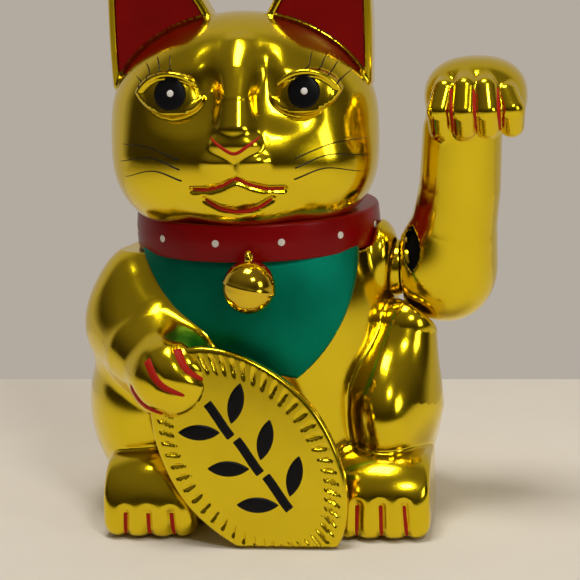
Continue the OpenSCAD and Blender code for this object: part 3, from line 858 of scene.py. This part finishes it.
CAD_FINISHES = {
    "steel": surface("turned_steel", (0.55, 0.55, 0.56), (0.42, 0.42, 0.44), 0.28, metallic=1.0, grain=2400.0,
                     grain_depth=0.2),
    "magnet": surface("sintered_magnet", (0.07, 0.07, 0.075), (0.04, 0.04, 0.045), 0.5, metallic=0.6,
                      grain=2600.0, grain_depth=0.4),
    "white_plastic": surface("white_plastic", (0.80, 0.79, 0.74), (0.72, 0.70, 0.64), 0.38, grain_depth=0.1),
    "base_plastic": surface("base_plastic", (0.62, 0.46, 0.10), (0.54, 0.39, 0.08), 0.42, grain=1400.0,
                            grain_depth=0.25),
    "foam": surface("foam", (0.03, 0.03, 0.03), (0.015, 0.015, 0.015), 0.9, grain=1100.0, grain_depth=0.9),
    "board_green": surface("solder_mask", (0.03, 0.20, 0.07), (0.02, 0.14, 0.05), 0.3, coat=0.4),
    "copper": surface("enamelled_wire", (0.55, 0.20, 0.08), (0.42, 0.13, 0.05), 0.25, metallic=1.0,
                      grain=3200.0, grain_depth=0.5),
    "black_plastic": surface("black_plastic", (0.02, 0.02, 0.02), (0.03, 0.03, 0.03), 0.4, grain_depth=0.15),
    "sleeve_blue": surface("capacitor_sleeve", (0.02, 0.04, 0.22), (0.015, 0.03, 0.16), 0.25, coat=0.3),
    "cell_jacket": surface("cell_jacket", (0.06, 0.06, 0.065), (0.04, 0.04, 0.045), 0.3, metallic=0.3,
                           coat=0.4),
    "contact_metal": surface("nickel_contact", (0.66, 0.65, 0.62), (0.56, 0.55, 0.52), 0.2, metallic=1.0),
    "lead_red": surface("lead_red", (0.45, 0.01, 0.01), (0.36, 0.01, 0.01), 0.4),
    "lead_black": surface("lead_black", (0.015, 0.015, 0.015), (0.025, 0.025, 0.025), 0.4),
    "gold_shell": GOLD,
    "bell_gold": BELL_GOLD,
    "ear_red": EAR_RED,
    "bib_green": BIB_GREEN,
    "collar_red": COLLAR_RED,
    "ornament_black": PAINT_BLACK,
}


# ---------------------------------------------------------------- head pieces
WHISKERS = [((18, 121), (29, 124.5), (38, 124.6)),
            ((18, 118), (28, 121.2), (39, 119.2)),
            ((17.5, 114.5), (27, 117.2), (37, 114.6))]
# Each lash: where it starts beside and above the middle of the face, how far it leans out, its length.
LASHES = [(21.5, 147.6, 0.6, 4.2), (25, 147.0, 1.6, 4.2), (28.2, 145.4, 2.2, 3.8), (30.6, 142.6, 3.0, 2.6)]
PUPIL_R = 5.0
GLINT_R = 1.05
GLINT_LIFT = 0.35


def face_line(pairs, width, tip=0.25, both=True, count=32):
    return front_line(head_field, pairs, width, tip, both, count)


def build_head():
    head = skin("head_skin", head_field, (-48, -56, 97), (44, 24, 197), HEAD_CELL, [GOLD])
    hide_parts("head_front_shell", "head_rear_shell")
    settle_in(head, "figure")


def paint_mouth():
    lines = [face_line(UPPER_LIP, 1.7), face_line(LOWER_LIP, 1.6), face_line(NOSE_LINE, 1.3)]
    settle_in(merged("face_red_lines", lines, [PAINT_RED]), "figure")


def paint_hair():
    strokes = []
    for side in (-1, 1):
        for points in WHISKERS:
            pairs = [(side * out, z) for out, z in points]
            strokes.append(face_line(face_pairs(pairs), 0.55, tip=0.35, both=False))
        for out, low, lean, length in LASHES:
            pairs = [(side * out, low), (side * (out + lean * 0.4), low + length * 0.55),
                     (side * (out + lean), low + length)]
            strokes.append(face_line(face_pairs(pairs), 0.5, tip=0.3, both=False, count=10))
    settle_in(merged("lashes_and_whiskers", strokes, [PAINT_BLACK]), "figure")


def paint_eyes():
    for side, word in ((-1, "right"), (1, "left")):
        eye_x = FACE_X + side * EYE_OUT
        disc = spot(head_field, (eye_x, IN_FRONT, EYE_Z + 0.3), PUPIL_R, BACKWARD)
        settle_in(mesh_object(word + "_pupil", *disc, [PAINT_BLACK]), "figure")
        dot = spot(head_field, (eye_x + 0.2, IN_FRONT, EYE_Z + 0.5), GLINT_R, BACKWARD, GLINT_LIFT)
        settle_in(mesh_object(word + "_glint", *dot, [PAINT_WHITE]), "figure")


def ear_panel_field(side):
    """Field of the red panel that lies in the recess of one ear."""
    def field(p):
        inner, outer = ear_outline(p, side)
        flat_d = overlap(inner, outer, 1.0) + EAR_RIM + PANEL_GAP
        layer = np.maximum(EAR_FRONT + PANEL_FACE - p[:, 1], p[:, 1] - EAR_FRONT - PANEL_DEEP)
        skull = ellipsoid(p, SKULL_MID, (HEAD_W / 2 + 0.6, SKULL_DEPTH + 1, HEAD_TOP - HEAD_MID + 1))
        return np.maximum(np.maximum(flat_d, layer), -skull)
    return field


def build_ears():
    for side, word in ((-1, "right"), (1, "left")):
        low = HEAD_X + (0 if side > 0 else -45)
        panel = skin(word + "_ear_panel_skin", ear_panel_field(side), (low, -19, 140), (low + 45, -14, 196),
                     PANEL_CELL, [EAR_RED])
        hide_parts(word + "_ear_panel")
        settle_in(panel, "figure")


# ---------------------------------------------------------------- body pieces
TOE_PAINT_LOW = 1.8


def body_line(pairs, width):
    return front_line(body_field, pairs, width, 0.2, False, 24)


def build_body():
    body = skin("body_skin", body_field, (-58, -62, 0), (63, 48, 101), BODY_CELL, [GOLD])
    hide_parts("body_front_shell", "body_rear_shell")
    settle_in(body, "figure")
    claws = [body_line(line, 3.6) for line in RIGHT_CLAWS]
    for middle, top in FEET:
        for i in (-1, 0, 1):
            line = toe_line(middle, top, i)
            claws.append(body_line(line[:2] + [(line[2][0], TOE_PAINT_LOW)], 2.2))
    settle_in(merged("body_claw_lines", claws, [PAINT_RED]), "figure")


# Middle (x, z) and radius of the two circles whose arcs bound the bib, seen from the front.
BIB_ARCS = ((-11.2, 87.2, 46.1), (35.3, 128.8, 81.1))
BIB_T = 1.1
BIB_SUNK = 0.6
BIB_BACK = -12.0
ARM_ROOM = ((-40, -16, 65), (14.6, 17.9, 23.4))


def bib_outline(x, z):
    """Flat distance to the bib seen from the front: a shield with bowed sides and a pointed tip."""
    first, second = (np.hypot(x - mid_x, z - mid_z) - radius for mid_x, mid_z, radius in BIB_ARCS)
    return np.maximum(np.maximum(first, second), z - (SHOULDER_Z + 2))


def bib_field(p):
    outline = bib_outline(p[:, 0], p[:, 2])
    shell = chest_field(p)
    layer = np.maximum(shell - BIB_T, -(shell + BIB_SUNK))
    edge = overlap(outline, layer, 1.0)
    arm = ellipsoid(p, *ARM_ROOM)
    return np.maximum(np.maximum(edge, p[:, 1] - BIB_BACK), -arm)


def build_bib():
    bib = skin("bib_skin", bib_field, (-44, -50, 44), (44, -11, 90.5), PANEL_CELL, [BIB_GREEN])
    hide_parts("bib")
    settle_in(bib, "figure")


DOT_COUNT = 12
DOT_R = 1.15
COLLAR_LIP = 14.0       # how far the lip that meets the neck reaches in


def build_collar():
    low, high = COLLAR_LOW, COLLAR_HIGH
    lip_r = COLLAR_R - COLLAR_LIP
    outline = rounded_profile([(low, COLLAR_R - 3), (low, COLLAR_R - 0.3), ((low + high) / 2, COLLAR_R),
                               (high, COLLAR_R - 0.5), (high - 0.1, lip_r), (high - 0.8, lip_r),
                               (high - 0.8, COLLAR_R - 3)], 1.1)
    ring = lathe("collar_skin", outline, (*COLLAR_MID, 0), (0, 0, 1), [COLLAR_RED], around=180, closed=True)
    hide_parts("collar")
    settle_in(ring, "figure")


def paint_collar_dots():
    dots = []
    for i in range(DOT_COUNT):
        turn = math.radians(18.5 + 360 / DOT_COUNT * i)
        out = vec(math.sin(turn), -math.cos(turn), 0)
        centre = (*(COLLAR_MID + 60 * out[:2]), (COLLAR_LOW + COLLAR_HIGH) / 2 + 0.2)
        dots.append(spot(collar_surface, centre, DOT_R, -out))
    settle_in(merged("collar_dots", dots, [PAINT_WHITE]), "figure")


BELL_AXIS = (0.25, 0.1, 0.96)
BELL_SEAM = 0.35
LOOP_R = 2.1
LOOP_WIRE = (1.0, 0.8)      # half-sizes of the loop's section, across and outward


def build_bell():
    box_low, box_high = (np.array(c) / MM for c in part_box("bell"))
    centre = vec((box_low[0] + box_high[0]) / 2, box_low[1] + BELL_R, box_low[2] + BELL_R)
    profile = [(-BELL_R * math.cos(t), max(BELL_R * math.sin(t), 0.05)) for t in np.linspace(0, np.pi, 49)]
    seam = [(a, r + BELL_SEAM * math.exp(-(a / 0.5) ** 2)) for a, r in profile]
    bell = lathe("bell_skin", seam, centre, BELL_AXIS, [BELL_GOLD])
    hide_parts("bell")
    settle_in(bell, "figure")
    loop_mid = centre + vec(0, 1.5, BELL_R + 0.2)
    turns = np.linspace(0, 2 * np.pi, 20, endpoint=False)
    section = [(LOOP_WIRE[0] * math.cos(t), LOOP_R + LOOP_WIRE[1] * math.sin(t)) for t in turns]
    ring = lathe("bell_loop", section, loop_mid, (1, 0, 0), [BELL_GOLD], around=40, closed=True)
    settle_in(ring, "figure")


# ---------------------------------------------------------------- coin
COIN_POWER = 2 / 1.1        # just under 2 makes an oval slightly pointed
TICK_TURNS = 52
TICK_DEPTH = 0.55
TICK_INSET = 4.6
TICK_HALF_L = 2.0


def coin_to_world(points):
    """Coin frame (across, along, out of the face) to the figure's frame."""
    upright = Matrix.Rotation(-COIN_LEAN, 3, "X") @ Matrix.Rotation(math.pi / 2, 3, "X")
    turn = upright @ Matrix.Rotation(COIN_TILT, 3, "Z")
    return points @ np.array(turn).T + COIN_MID


def coin_outline(p):
    """Flat distance to a long oval, a little pointed at its ends."""
    u = np.abs(p[:, 0]) / (COIN_WIDTH / 2)
    v = np.abs(p[:, 1]) / (COIN_LENGTH / 2)
    size = (u ** COIN_POWER + v ** COIN_POWER) ** (1 / COIN_POWER) + 1e-9
    radius = np.hypot(p[:, 0], p[:, 1]) / size
    return (size - 1) * np.minimum(radius, 30)


def coin_field(p):
    """Slightly domed plate with a ring of short grooves near its edge, cut level at the foot."""
    outline = coin_outline(p)
    rise = 0.25 * (1 - (p[:, 0] / COIN_WIDTH * 2) ** 2)
    plate = overlap(outline, np.abs(p[:, 2] + COIN_THICK / 2 - rise) - COIN_THICK / 2, 1.6)
    turn = np.arctan2(p[:, 0] / COIN_WIDTH, p[:, 1] / COIN_LENGTH)
    swell = np.clip(np.cos(turn * TICK_TURNS), 0, 1) ** 2
    band = np.exp(-((outline + TICK_INSET) / TICK_HALF_L) ** 4)
    plate = plate + TICK_DEPTH * swell * band * (p[:, 2] > -1.5)
    below_table = BASE_Z + 0.05 - coin_to_world(p)[:, 2]
    return np.maximum(plate, below_table)


def stand_on_coin(piece):
    """Moves a piece from the coin's frame to the figure's frame."""
    points = np.array([v.co for v in piece.data.vertices]) / MM
    piece.data.vertices.foreach_set("co", (coin_to_world(points) * MM).ravel())
    piece.data.update()


def build_coin():
    half_w, half_l = COIN_WIDTH / 2 + 2, COIN_LENGTH / 2 + 2
    low, high = (-half_w, -half_l, -COIN_THICK - 1), (half_w, half_l, 2)
    coin = skin("coin_skin", coin_field, low, high, COIN_CELL, [GOLD])
    stand_on_coin(coin)
    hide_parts("coin")
    settle_in(coin, "figure")


def build_sprig():
    sprig = skin("coin_sprig", sprig_field, (-16, -26, -1.2), (16, 28, 1.6), SPRIG_CELL, [PAINT_BLACK])
    stand_on_coin(sprig)
    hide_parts("coin_ornament")
    settle_in(sprig, "figure")


STEM_LENGTH = 13.0
STEM_GAP = 1.5
STEM_HALF_W = 1.5
LEAF_LENGTH = 13.4
LEAF_WIDTH = 5.0
LEAF_TURN = 52.0


def leaf_distance(x, y, start, turn, length, width):
    """Flat distance to a pointed leaf that grows from `start`."""
    c, s = math.cos(math.radians(turn)), math.sin(math.radians(turn))
    u = (x - start[0]) * c + (y - start[1]) * s
    v = -(x - start[0]) * s + (y - start[1]) * c
    radius = (length * length / 4 + width * width / 4) / width
    off = radius - width / 2
    return np.maximum(np.hypot(u - off, v - length / 2), np.hypot(u + off, v - length / 2)) - radius


def sprig_field(p):
    """Three pieces of stem, one above the other, each with a pair of leaves."""
    x, y = p[:, 0], p[:, 1]
    shape = np.full(len(p), 50.0)
    for i in (-1, 0, 1):
        middle = i * (STEM_LENGTH + STEM_GAP)
        beside = np.abs(x - 0.4 * np.sin((y - middle) / 4)) - STEM_HALF_W
        shape = np.minimum(shape, np.maximum(beside, np.abs(y - middle) - STEM_LENGTH / 2))
        for side in (-1, 1):
            start = (side * 2.2, middle - STEM_LENGTH / 4)
            leaf = leaf_distance(x, y, start, -side * LEAF_TURN, LEAF_LENGTH, LEAF_WIDTH)
            shape = np.minimum(shape, leaf)
    layer = np.abs(p[:, 2] - 0.1) - 0.9
    return overlap(shape, layer, 0.9)


# ---------------------------------------------------------------- raised arm and shoulder
def paint_hollow_shade(arm):
    """Paints shade: gives the faces inside the opening and the slot pocket a flat black that stands in for
    the shade inside the hollow arm.
    """
    points = np.array([v.co for v in arm.data.vertices]) / MM
    opening = (from_pivot(points) < OPENING_R - 0.4) & (points[:, 0] < OPENING_END + 0.6)
    dark = opening | (slot_window(points) < 0.35)
    for face in arm.data.polygons:
        face.material_index = int(dark[list(face.vertices)].all())


def build_arm():
    arm = skin("raised_arm_skin", arm_field, (44, -38, 59), (92, 12, 150), ARM_CELL, [GOLD, SHADOW_BLACK])
    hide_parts("arm_inner_shell", "arm_outer_shell")
    paint_hollow_shade(arm)
    settle_in(arm, "arm")
    lines = [front_line(arm_field, raised_claw(x), 2.0, 0.2, True, 20) for x in RAISED_CLAWS]
    settle_in(merged("raised_claw_lines", lines, [PAINT_RED]), "arm")


BUSH_BORE = 2.4
BUSH_R = 8.0
BUSH_RING_R = 9.2
BUSH_START = 38.0
BUSH_END = 52.0


def build_bush():
    corners = [(BUSH_START, BUSH_BORE), (BUSH_START, BUSH_R), (43.2, BUSH_R), (43.9, BUSH_RING_R),
               (46.8, BUSH_RING_R), (47.5, 8.5), (48.2, BUSH_RING_R), (BUSH_END, BUSH_RING_R), (BUSH_END, 7),
               (BUSH_END - 0.8, 6.2), (BUSH_END - 0.8, BUSH_BORE)]
    outline = rounded_profile(corners, 0.5, 4)
    bush = lathe("shoulder_bush_skin", outline, (0, PIVOT[1], PIVOT[2]), (1, 0, 0), [GOLD], closed=True)
    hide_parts("shoulder_bush")
    settle_in(bush, "figure")


def finish_cad_nodes():
    """Gives every CAD piece that stays visible its procedural finish."""
    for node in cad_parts.values():
        for i, material in enumerate(node.data.materials):
            name = material.name.split(".")[0]
            node.data.materials[i] = CAD_FINISHES[name]


# ---------------------------------------------------------------- light, floor, camera
CAMERA_AIM = vec(8.8, 1.2, 69.6)
CAMERA_FAR = 700.0
CAMERA_AZIMUTH = math.radians(8)
CAMERA_HEIGHT = math.radians(12)
CAMERA_ROLL = math.radians(2)
PHOTO_HALF_WIDTH = 96.67
SENSOR = 36.0


def aimed(name, data, axes, place):
    """New object whose own X, Y and Z axes and place, in metres, are the given ones."""
    matrix = Matrix.Identity(4)
    for column, axis in enumerate((*axes, place)):
        for row in range(3):
            matrix[row][column] = axis[row]
    thing = bpy.data.objects.new(name, data)
    thing.matrix_world = matrix
    bpy.context.scene.collection.objects.link(thing)
    return thing


def place_camera():
    turn, height, roll = CAMERA_AZIMUTH, CAMERA_HEIGHT, CAMERA_ROLL
    back = vec(math.sin(turn) * math.cos(height), -math.cos(turn) * math.cos(height), math.sin(height))
    right = vec(math.cos(turn), math.sin(turn), 0)
    up = np.cross(back, right)
    tilted_right = right * math.cos(roll) - up * math.sin(roll)
    tilted_up = right * math.sin(roll) + up * math.cos(roll)
    data = bpy.data.cameras.new("photo_camera")
    data.sensor_width = SENSOR
    data.lens = SENSOR / 2 * CAMERA_FAR / PHOTO_HALF_WIDTH
    data.clip_start = 0.01
    place = (CAMERA_AIM + back * CAMERA_FAR) * MM
    bpy.context.scene.camera = aimed("photo_camera", data, (tilted_right, tilted_up, back), place)


TABLE_HALF_W = 4000.0
TABLE_FRONT = -6000.0
TABLE_BACK = 151.0


def build_stage():
    cream = (0.80, 0.755, 0.66)
    finish = surface("table_cream", cream, tuple(c * 0.98 for c in cream), 0.8, grain=300.0, grain_depth=0.03,
                     specular=0.2)
    corners = [(x, y, 0) for y in (TABLE_FRONT, TABLE_BACK) for x in (-TABLE_HALF_W, TABLE_HALF_W)]
    table = mesh_object("table_top", corners, [(0, 1, 3, 2)], [finish])


LIGHT_AIM = vec(0, 0, 0.08)


def area_light(name, place, size, power, colour):
    """Rectangular lamp at a place in metres, turned towards the figure."""
    data = bpy.data.lights.new(name, "AREA")
    data.shape = "RECTANGLE"
    data.size, data.size_y = size
    data.energy = power
    data.color = colour
    offset = vec(*place) - LIGHT_AIM
    back = offset / np.linalg.norm(offset)
    right = np.cross((0, 0, 1), back)
    right /= np.linalg.norm(right)
    aimed(name, data, (right, np.cross(back, right), back), place)


WALL_GLOW = (0.455, 0.405, 0.352)
# The dark room in front: (height as a share of straight up, colour).
ROOM_STOPS = [(0.0, (0.020, 0.015, 0.010)), (0.22, (0.04, 0.030, 0.021)), (0.75, (0.17, 0.144, 0.11))]


def build_room():
    """Surroundings by direction: a dark room in front, a pale wall behind and below the table."""
    world = bpy.data.worlds.new("room")
    world.use_nodes = True
    bpy.context.scene.world = world
    nodes, links = world.node_tree.nodes, world.node_tree.links
    place = nodes.new("ShaderNodeTexCoord")
    split = nodes.new("ShaderNodeSeparateXYZ")
    links.new(place.outputs["Generated"], split.inputs["Vector"])
    ramp = nodes.new("ShaderNodeValToRGB")
    links.new(split.outputs["Z"], ramp.inputs["Fac"])
    ramp.color_ramp.elements.new(0.5)
    for stop, (height, colour) in zip(ramp.color_ramp.elements, ROOM_STOPS):
        stop.position = height
        stop.color = (*colour, 1)
    behind = ranged(nodes, links, split.outputs["Y"], 0, 1, 0.15, 0.40)
    below = ranged(nodes, links, split.outputs["Z"], 1, 0, -0.03, 0.0)
    above_table = mixed_colour(nodes, links, behind, ramp.outputs["Color"], WALL_GLOW)
    everywhere = mixed_colour(nodes, links, below, above_table, WALL_GLOW)
    links.new(everywhere, nodes["Background"].inputs["Color"])


def build_light():
    area_light("key", (0.42, -0.73, 0.85), (0.20, 0.16), 2.7, (1.0, 0.98, 0.95))
    area_light("window", (1.25, -0.75, 0.55), (0.35, 0.45), 2.4, (1.0, 0.98, 0.96))
    area_light("overhead", (-0.05, -0.15, 1.1), (0.36, 0.30), 5.6, (1.0, 0.97, 0.95))


build_head()
paint_mouth()
paint_hair()
paint_eyes()
build_ears()
build_body()
build_bib()
build_collar()
paint_collar_dots()
build_bell()
build_coin()
build_sprig()
build_arm()
build_bush()
finish_cad_nodes()
build_stage()
place_camera()
build_room()
build_light()

bpy.context.scene.view_settings.view_transform = "Standard"
